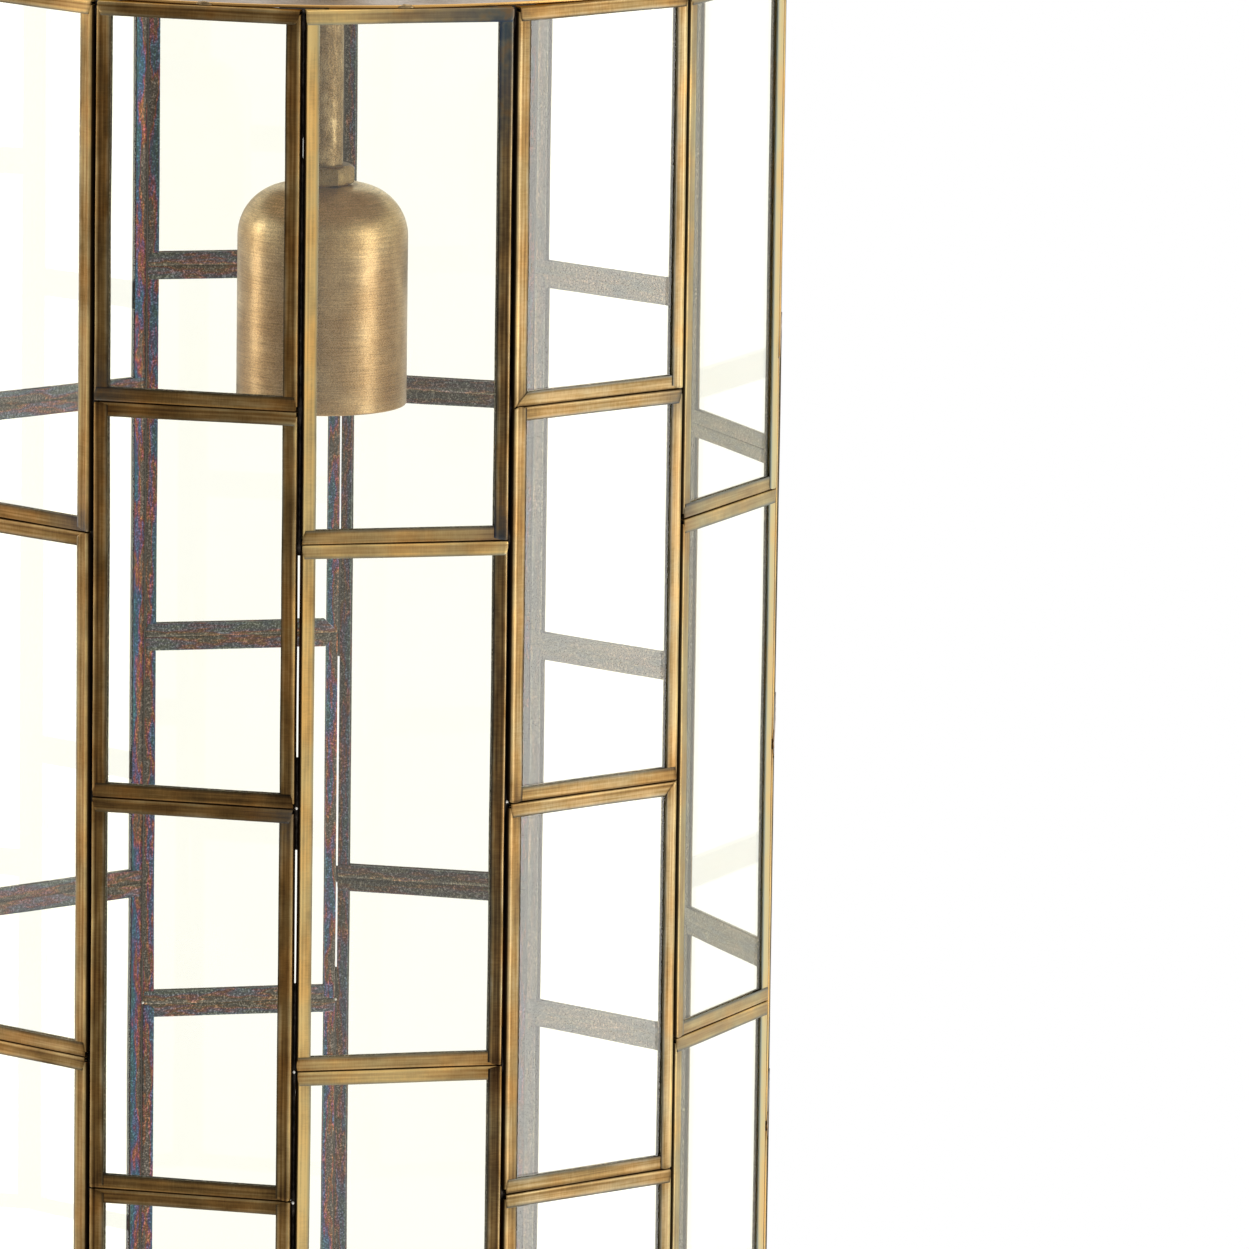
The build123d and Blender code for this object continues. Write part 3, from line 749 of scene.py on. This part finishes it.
def makeFrames(column):
    along, outward = columnAxes(column)
    upward = Vector((0, 0, 1))
    rows = rowsOf(column)
    rowHeight = lanternHeight / rows
    height = rowHeight - lantern["seamGap"]
    sheet = bmesh.new()
    names = ("wearAndLight", "sideWall", "innerFace", "lip", "tone", "torch", "innerShade", "reach", "burn", "grey")
    marks = {name: sheet.verts.layers.float.new(name) for name in names}
    marks["runPlace"] = sheet.verts.layers.float_vector.new("runPlace")
    for row in range(rows):
        centre = outward * innerApothem + upward * (frameTop - rowHeight * (row + 0.5))
        sideways = along * random.uniform(-1, 1) * came["shift"]
        centre += sideways + upward * random.uniform(-0.5, 0.5) * came["shift"]
        turn = Matrix.Rotation(random.uniform(-1, 1) * came["turn"], 3, outward)
        side, up = turn @ along, turn @ upward
        kinds = {}
        for corner in ("topLeft", "topRight", "bottomLeft", "bottomRight"):
            kinds[corner] = knownCorners.get((column, row, corner), cornerKind())
        crossEnd = {corner: {"cross": "over", "upright": "under"}.get(kind, kind)
                    for corner, kind in kinds.items()}
        uprightEnd = {corner: {"cross": "under", "upright": "over"}.get(kind, kind)
                      for corner, kind in kinds.items()}
        bottomLeft = centre - side * frameWidth / 2 - up * height / 2
        topLeft = bottomLeft + up * height
        bottomRight = bottomLeft + side * frameWidth
        topRight = topLeft + side * frameWidth
        corners = {
            "topLeft": topLeft,
            "topRight": topRight,
            "bottomLeft": bottomLeft,
            "bottomRight": bottomRight,
        }
        spots = [[(corners[corner], *known[(column, row, corner)]) for corner in corners
                  if (column, row, corner) in known] for known in (burntCorners, goldenCorners)]
        runs = [
            (topLeft, (side, -up, outward), frameWidth, crossEnd, ("topLeft", "topRight")),
            (bottomLeft, (side, up, outward), frameWidth, crossEnd, ("bottomLeft", "bottomRight")),
            (bottomLeft, (up, side, outward), height, uprightEnd, ("bottomLeft", "topLeft")),
            (bottomRight, (up, -side, outward), height, uprightEnd, ("bottomRight", "topRight")),
        ]
        openWalls = ((0, "top"), (rows - 1, "bottom"))
        for name, (place, axes, length, kindOf, joined) in zip(("top", "bottom", "left", "right"), runs):
            ends = [kindOf[corner] for corner in joined]
            tone = columnLightTone.get(column, 0.0) + runTone.get((column, name), 0.0)
            tone += random.uniform(-came["toneSpread"], came["toneSpread"])
            crossing = name in ("top", "bottom")
            # open walls and folds in plain sight keep less of the painted gap shade
            bright = (row, name) in openWalls or (column, name) in brightFolds
            bulge, share = runFold.get((column, name), (came["bulge"], uprightShare.get(column, 1.0)))
            looks = {
                "tone": tone,
                "slope": runSlope.get((column, name), 0.0),
                "grey": runGrey.get((column, name), columnGrey.get(column, 0.0)),
                "wornAndLit": runWearAndLight[name] * columnWearAndLight.get(column, 1.0),
                "torch": columnTorch.get(column, 0.1) * (crossTorch if crossing else 1.0),
                "innerShade": innerShade.get(column, 1.0),
                "innerJoin": came["innerJoin"] if crossing else 0.0,
                "bulge": 0.0 if crossing else bulge,
                "wallShade": came["brightWall"] if bright else 1.0,
                "share": 1.0 if crossing else share,
            }
            layRun(sheet, marks, place, axes, length, ends, looks, spots, random.uniform(0, 90))
    number = column + 1
    name = f"cameFrames_{number:02d}"
    piece = newPiece(name, finishMesh(sheet, name), materials["came"])
    piece.data.set_sharp_from_angle(angle=math.radians(came["sharpAngle"]))
    seat(piece, "came_brass", f"column_{number:02d}_frames")


random.seed(came["seed"])
for column in range(lantern["columns"]):
    makeFrames(column)
print("came frames: made")


# Solder in the V between two columns: thick at the seams, thin or missing elsewhere
gapSolder = {
    "step": 0.0022,
    "depth": 0.0009,
    "blobDepth": 0.0021,
    "blobReach": 0.0035,
    "breaks": 3,
    "breakLength": (0.008, 0.03),
    "endGap": 0.0003,
    "endBlob": 0.0033,  # how far in from each end the solder is thick
    "roughness": 0.45,
    "blobRoughness": 0.15,
    "thinSide": 0.25,
    # a strip of solder closes the corner between the plate's rim and the frames
    "fillRadii": (0.1196, 0.1222),
    "fillHeights": (-0.0008, 0.00005),
    "fillHalfAngle": 3.0,
    "fillSag": 0.00012,
    "fillLump": 0.00008,
    "nubRadius": 0.00042,
    "seed": 5,
}
# Nubs of solder where the torch was lifted, painted near white as glints: corner, height, distance out from
# the inner faces
solderNubs = [
    (0, -0.2667, 0.0021), (0, -0.3363, 0.0021), (0, -0.3710, 0.0021), (1, -0.2665, 0.0021),
    (7, -0.3707, -0.0002), (8, -0.3700, -0.0002), (5, -0.1632, -0.0002), (10, -0.2666, 0.0021),
]
# Stretches of a corner with no solder, from one height to another; the other corners get a few by chance
openGaps = {
    0: [(-0.2517, -0.1985), (-0.3127, -0.2787)],
    7: [(-0.2400, -0.1950), (-0.3600, -0.2755)],
    8: [],
}
thinGaps = {0: (-0.0987, -0.0908)}  # only a hair of light comes through beside the solder


def solderHeights():
    heights = [lanternHeight * row / lantern["tallRows"] for row in range(1, lantern["tallRows"])]
    heights += [lanternHeight * row / lantern["shortRows"] for row in range(1, lantern["shortRows"])]
    heights += [gapSolder["endBlob"], lanternHeight - gapSolder["endBlob"]]
    return [frameTop - drop for drop in heights]


def wedgeCorner(depth, side):
    reach = innerApothem + depth
    radial = reach * math.cos(halfAngle) + frameWidth / 2 * math.sin(halfAngle)
    sideways = reach * math.sin(halfAngle) - frameWidth / 2 * math.cos(halfAngle)
    return radial, side * sideways


def addCornerFill(sheet, corner):
    inner, outer = gapSolder["fillRadii"]
    low, high = (frameTop + height for height in gapSolder["fillHeights"])
    previous = None
    for step in range(9):
        swing = math.radians(gapSolder["fillHalfAngle"]) * (step / 4 - 1)
        angle = 2 * corner * halfAngle + swing
        outward = Vector((math.sin(angle), -math.cos(angle), 0))
        lump = gapSolder["fillLump"] * noise.noise(Vector((corner * 2.7, step * 0.9, 4.4)))
        points = [(inner, low), (outer, low), (outer, high - gapSolder["fillSag"] + lump), (inner, high)]
        ring = [sheet.verts.new(outward * radius + Vector((0, 0, height))) for radius, height in points]
        if previous is None:
            sheet.faces.new(ring)
        else:
            joinRings(sheet, previous, ring)
        previous = ring
    sheet.faces.new(list(reversed(previous)))


def makeGapSolder():
    random.seed(gapSolder["seed"])
    sheet = bmesh.new()
    inside = sheet.verts.layers.float.new("inside")
    bright = sheet.verts.layers.float.new("bright")
    seams = solderHeights()
    for corner in range(lantern["columns"]):
        addCornerFill(sheet, corner)
        angle = 2 * corner * halfAngle
        outward = Vector((math.sin(angle), -math.cos(angle), 0))
        along = Vector((math.cos(angle), math.sin(angle), 0))
        gaps = list(openGaps.get(corner, []))
        if corner not in openGaps:
            for _ in range(gapSolder["breaks"]):
                middle = frameTop - random.uniform(0.05, 0.95) * lanternHeight
                half = random.uniform(*gapSolder["breakLength"]) / 2
                gaps.append((middle - half, middle + half))
        top = frameTop - gapSolder["endGap"]
        bottom = frameTop - lanternHeight + gapSolder["endGap"]
        count = round((top - bottom) / gapSolder["step"])
        previous = None
        for step in range(count + 1):
            height = top + (bottom - top) * step / count
            nearSeam = min(abs(height - seam) for seam in seams)
            isOpen = any(low < height < high for low, high in gaps) and nearSeam > gapSolder["blobReach"]
            if isOpen or step == count:
                if previous:
                    sheet.faces.new(list(reversed(previous)))
                previous = None
                if isOpen:
                    continue
            lump = max(0.0, 1 - (nearSeam / gapSolder["blobReach"]) ** 2)
            rough = noise.noise(Vector((height * 320, corner * 3.1, 0.0)))
            depth = gapSolder["depth"] * (1 + gapSolder["roughness"] * rough) * (1 - lump)
            depth += gapSolder["blobDepth"] * (1 + gapSolder["blobRoughness"] * rough) * lump
            ring = []
            low, high = thinGaps.get(corner, (0.0, 0.0))
            rightSide = gapSolder["thinSide"] if low < height < high else 1
            for share, side in ((0.02, -1), (1.0, -1), (0.86, 0), (1.0, rightSide), (0.02, rightSide)):
                radial, sideways = wedgeCorner(depth * share, side)
                vert = sheet.verts.new(outward * radial + along * sideways + Vector((0, 0, height)))
                vert[inside] = 1.0 if share < 0.1 else 0.0
                ring.append(vert)
            if previous is None:
                sheet.faces.new(ring)
            else:
                joinRings(sheet, previous, ring)
            previous = ring
    for corner, height, depth in solderNubs:
        radial, _ = wedgeCorner(depth, 1)
        angle = 2 * corner * halfAngle
        centre = Vector((math.sin(angle) * radial, -math.cos(angle) * radial, height))
        made = bmesh.ops.create_uvsphere(sheet, u_segments=16, v_segments=10, radius=gapSolder["nubRadius"])
        for vert in made["verts"]:
            vert[bright] = 1.0
            vert.co = centre + vert.co * (1 + 0.2 * noise.noise(vert.co * 3000 + Vector((corner, 0, 0))))
    piece = newPiece("gapSolder", finishMesh(sheet, "gapSolder"), materials["solder"])
    seat(piece, "dark_solder", "corner_solder")


makeGapSolder()
print("gap solder: made")


# Round plate on the frames: cut by hand, so its rim wavers a little
plate = {
    "thickness": 0.0008,
    "edge": 0.0002,
    "rimBand": 0.0006,
    "bore": 0.00505,
    "rings": (0.03, 0.06, 0.09),  # radii of the rings between the bore and the rim
    "waver": 0.00018,
    "waverFrom": 0.1,
    "sharpAngle": 40,
}


def makePlate():
    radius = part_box("top_plate")[1].y
    low, high, edge = frameTop, frameTop + plate["thickness"], plate["edge"]
    band = radius - plate["rimBand"]
    profile = [(plate["bore"], low), (plate["bore"], high)]
    profile += [(ring, high) for ring in plate["rings"]] + [(band, high)]
    rimStart = len(profile)
    profile += arc(radius - edge, high - edge, edge, 90, 0, 4)
    profile += arc(radius - edge, low + edge, edge, 0, -90, 4)
    rim = range(rimStart, len(profile) - 2)
    profile += [(band, low)] + [(ring, low) for ring in reversed(plate["rings"])]

    def waver(place, angle):
        distance = math.hypot(place.x, place.y)
        share = max(0.0, (distance - plate["waverFrom"]) / (radius - plate["waverFrom"]))
        shift = plate["waver"] * noise.noise(Vector((math.cos(angle) * 4, math.sin(angle) * 4, 1.7)))
        factor = 1 - share * abs(shift) / radius
        return Vector((place.x * factor, place.y * factor, place.z))

    piece = turnProfile("topPlate", profile, materials["plate"], 320, waver, rim)
    piece.data.set_sharp_from_angle(angle=math.radians(plate["sharpAngle"]))
    seat(piece, "plate_brass", "top_plate")


makePlate()

# Tacks of solder that hold the plate to the frames
tacks = {
    "length": 0.0042,
    "width": 0.0011,
    "height": 0.0009,
    "wander": 0.002,  # how far a tack may lie from the middle of its column
    "seat": 0.0001,
    "lumpiness": 0.25,
    "seed": 8,
}


def makeTacks():
    random.seed(tacks["seed"])
    sheet = bmesh.new()
    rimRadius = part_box("top_plate")[1].y
    for column in range(lantern["columns"]):
        along, outward = columnAxes(column)
        sideways = along * random.uniform(-tacks["wander"], tacks["wander"])
        centre = outward * (rimRadius - tacks["seat"]) + sideways
        centre.z = frameTop + tacks["seat"]
        made = bmesh.ops.create_uvsphere(sheet, u_segments=20, v_segments=12, radius=1.0)
        for vert in made["verts"]:
            lumpy = 1 + tacks["lumpiness"] * noise.noise(vert.co * 2.3 + Vector((column * 5, 0, 0)))
            local = vert.co * lumpy
            offset = along * local.x * tacks["length"] / 2 + outward * local.y * tacks["width"] / 2
            vert.co = centre + offset + Vector((0, 0, max(local.z, -0.1) * tacks["height"]))
    piece = newPiece("plateTacks", finishMesh(sheet, "plateTacks"), materials["fitting"])
    seat(piece, "dark_solder", "plate_tacks")


makeTacks()
print("plate and tacks: made")


# Cup: drawn brass with a round shoulder, a rolled lower edge and an open mouth
cup = {"wall": 0.001, "shoulder": 0.0138, "bore": 0.0051, "edge": 0.00045}


def makeCup():
    low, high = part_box("cup")
    radius, bottom, top = high.x, low.z, high.z
    shoulder, wall, edge = cup["shoulder"], cup["wall"], cup["edge"]
    profile = [(cup["bore"], top - wall), (cup["bore"], top)]
    profile += arc(radius - shoulder, top - shoulder, shoulder, 90, 0, 28)
    profile += [(radius, top - shoulder - (top - shoulder - bottom) * share / 6) for share in range(1, 6)]
    profile += arc(radius - edge, bottom + edge, edge, 0, -90, 4)
    profile += arc(radius - wall + edge, bottom + edge, edge, -90, -180, 4)
    profile += [(radius - wall, bottom + (top - shoulder - bottom) * share / 6) for share in range(1, 6)]
    profile += arc(radius - shoulder, top - shoulder, shoulder - wall, 0, 90, 24)
    piece = turnProfile("lampCup", profile, materials["cup"], 224)
    seat(piece, "cup_brass", "cup")


makeCup()
print("cup: made")


# Hexagonal nuts with turned corners
nut = {
    "acrossFlats": 0.014,
    "bore": 0.00505,
    "turnedAt": 0.00685,
    "rise": 0.55,
    "levels": 10,
    "steps": 144,
    "sharpAngle": 22,
}


def addNut(sheet, low, high):
    steps, sixth = nut["steps"], math.pi / 3
    outside = [low + (high - low) * level / nut["levels"] for level in range(nut["levels"] + 1)]
    made = []
    for number, height in enumerate([low] + outside + [high]):
        ring = []
        for step in range(steps):
            angle = 2 * math.pi * step / steps
            flat = nut["acrossFlats"] / 2 / math.cos(angle % sixth - sixth / 2)
            # the corners are turned away by a cone at each end
            coneTop = nut["turnedAt"] + (high - height) / nut["rise"]
            coneLow = nut["turnedAt"] + (height - low) / nut["rise"]
            radius = min(flat, coneTop, coneLow) if 0 < number <= len(outside) else nut["bore"]
            ring.append(sheet.verts.new((radius * math.cos(angle), radius * math.sin(angle), height)))
        made.append(ring)
    for lower, upper in zip(made, made[1:] + made[:1]):
        joinRings(sheet, lower, upper)


def makeNuts(name, node, heights):
    sheet = bmesh.new()
    for low, high in heights:
        addNut(sheet, low, high)
    piece = newPiece(name, finishMesh(sheet, name), materials["fitting"])
    piece.data.set_sharp_from_angle(angle=math.radians(nut["sharpAngle"]))
    seat(piece, "fitting_brass", node)


cupNutLow, cupNutHigh = (corner.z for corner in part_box("cup_nut"))
makeNuts("cupNut", "cup_nut", [(cupNutLow, cupNutHigh)])
plateNutsLow, plateNutsHigh = (corner.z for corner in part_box("plate_nuts"))
nutHeight = cupNutHigh - cupNutLow
makeNuts("plateNuts", "plate_nuts",
         [(plateNutsLow, plateNutsLow + nutHeight), (plateNutsHigh - nutHeight, plateNutsHigh)])
print("nuts: made")


# CAD nodes that stay as they are take their finished material
nodeFinishes = {
    "stem": ["stem_tube"],
    "fitting": ["plate_washer_upper", "plate_washer_lower", "cup_washer", "fork_collar", "fork_pin",
                "hanging_eye"],
    "phenolic": ["holder_cap", "holder_housing"],
    "porcelain": ["holder_core"],
    "shell": ["screw_shell"],
    "bronze": ["side_contact", "centre_contact"],
    "steel": ["terminal_screws", "holder_grub_screw", "collar_grub_screw"],
    "nylon": ["cable_bush"],
    "glass": [f"column_{number:02d}_panes" for number in range(1, lantern["columns"] + 1)],
}
for finish, names in nodeFinishes.items():
    for name in names:
        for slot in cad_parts[name].material_slots:
            slot.material = materials[finish]
print("CAD nodes: finished")


# Studio: white backdrop all round, a big soft light on the right, a weaker one on the left
studio = {
    "floorZ": -1.6,
    "floorRadius": 3.2,
    "floorColour": (0.86, 0.86, 0.85),
    # what metal and glass see at each bearing, in degrees from -Y towards +X
    "surround": [
        (-180, (1.0, 1.0, 0.98)), (-140, (1.0, 1.0, 1.0)), (-105, (0.9, 0.9, 0.9)),
        (-75, (0.62, 0.61, 0.60)), (-45, (0.30, 0.295, 0.29)), (-22, (0.26, 0.255, 0.25)),
        (0, (0.42, 0.415, 0.40)), (22, (0.57, 0.56, 0.53)), (45, (0.72, 0.70, 0.65)),
        (90, (0.74, 0.71, 0.62)), (130, (0.86, 0.84, 0.75)), (180, (1.0, 1.0, 0.96)),
    ],
    "surroundStrength": 1.35,
    "throughGlass": 0.13,
    "keyBearing": 66, "keySize": (1.05, 1.9), "keyDistance": 2.2, "keyPower": 19.0,
    "sideBearing": -98, "sideSize": (0.45, 1.7), "sideDistance": 2.2, "sidePower": 11.0,
    "topSize": 1.6, "topHeight": 1.9, "topPower": 9.0,
    "lightHeight": -0.1,
    "aim": (0, 0, -0.25),
    "floorGlow": 0.45,
    "behindFrom": 0.85,  # metal that faces straight back sees the white backdrop
}


def addSoftLight(name, place, aim, size, power):
    data = bpy.data.lights.new(name, "AREA")
    data.shape = "RECTANGLE"
    data.size, data.size_y = size
    data.energy = power
    lamp = bpy.data.objects.new(name, data)
    lamp.location = place
    lamp.rotation_euler = (Vector(aim) - Vector(place)).to_track_quat("-Z", "Y").to_euler()
    bpy.context.scene.collection.objects.link(lamp)


def bearing(degrees, distance):
    angle = math.radians(degrees)
    return (math.sin(angle) * distance, -math.cos(angle) * distance, studio["lightHeight"])


def makeWorld():
    world = bpy.data.worlds.new("studioWorld")
    bpy.context.scene.world = world
    world.use_nodes = True
    tree = world.node_tree
    tree.nodes.clear()
    direction = addNode(tree, "SeparateXYZ")
    tree.links.new(addNode(tree, "TexCoord").outputs["Generated"], direction.inputs[0])
    back = calc(tree, "MULTIPLY", direction.outputs["Y"], -1.0)
    turn = calc(tree, "ARCTAN2", direction.outputs["X"], back)
    share = calc(tree, "ADD", calc(tree, "DIVIDE", turn, 2 * math.pi), 0.5)
    stops = [(degrees / 360 + 0.5, colour) for degrees, colour in studio["surround"]]
    surround = addNode(tree, "Background")
    tree.links.new(ramp(tree, share, stops, "EASE"), surround.inputs["Color"])
    surround.inputs["Strength"].default_value = studio["surroundStrength"]
    backdrop = addNode(tree, "Background")
    backdrop.inputs["Color"].default_value = (1, 1, 1, 1)
    path = addNode(tree, "LightPath")
    bounces = calc(tree, "ADD", path.outputs["Glossy Depth"], path.outputs["Diffuse Depth"])
    direct = calc(tree, "LESS_THAN", bounces, 0.5)
    through = calc(tree, "MULTIPLY", path.outputs["Is Transmission Ray"], direct)
    # panes take a little from what shows through them, so it starts a little stronger
    makeUp = calc(tree, "MULTIPLY", through, studio["throughGlass"])
    tree.links.new(calc(tree, "ADD", makeUp, 1.0), backdrop.inputs["Strength"])
    behind = calc(tree, "GREATER_THAN", direction.outputs["Y"], studio["behindFrom"])
    mirrored = calc(tree, "MULTIPLY", path.outputs["Is Glossy Ray"], behind)
    white = calc(tree, "MAXIMUM", path.outputs["Is Camera Ray"], calc(tree, "MAXIMUM", through, mirrored))
    mixed = addNode(tree, "MixShader")
    tree.links.new(white, mixed.inputs[0])
    tree.links.new(surround.outputs[0], mixed.inputs[1])
    tree.links.new(backdrop.outputs[0], mixed.inputs[2])
    output = addNode(tree, "OutputWorld")
    tree.links.new(mixed.outputs[0], output.inputs["Surface"])


def makeFloor():
    sheet = bmesh.new()
    bmesh.ops.create_circle(sheet, cap_ends=True, segments=96, radius=studio["floorRadius"])
    mesh = bpy.data.meshes.new("studioFloor")
    sheet.to_mesh(mesh)
    sheet.free()
    material, tree, shader = startMaterial("studioFloor")
    tone = cloud(tree, objectPoint(tree), 6.0, 2.0)
    colour = studio["floorColour"]
    paler = tuple(value + 0.01 for value in colour)
    tree.links.new(ramp(tree, tone, [(0.4, colour), (0.6, paler)]), shader.inputs["Base Color"])
    shader.inputs["Roughness"].default_value = 0.85
    path = addNode(tree, "LightPath")
    seen = calc(tree, "MAXIMUM", path.outputs["Is Camera Ray"],
                calc(tree, "MAXIMUM", path.outputs["Is Glossy Ray"], path.outputs["Is Transmission Ray"]))
    shader.inputs["Emission Color"].default_value = (1, 1, 1, 1)
    tree.links.new(calc(tree, "MULTIPLY", seen, studio["floorGlow"]), shader.inputs["Emission Strength"])
    floor = bpy.data.objects.new("studioFloor", mesh)
    floor.location.z = studio["floorZ"]
    mesh.materials.append(material)
    bpy.context.scene.collection.objects.link(floor)


makeWorld()
makeFloor()
for side in ("key", "side"):
    place = bearing(studio[side + "Bearing"], studio[side + "Distance"])
    addSoftLight(side + "Light", place, studio["aim"], studio[side + "Size"], studio[side + "Power"])
addSoftLight("topLight", (0, 0, studio["topHeight"]), (0, 0, 0),
             (studio["topSize"], studio["topSize"]), studio["topPower"])
bpy.context.scene.view_settings.view_transform = "Standard"
print("studio: lit")
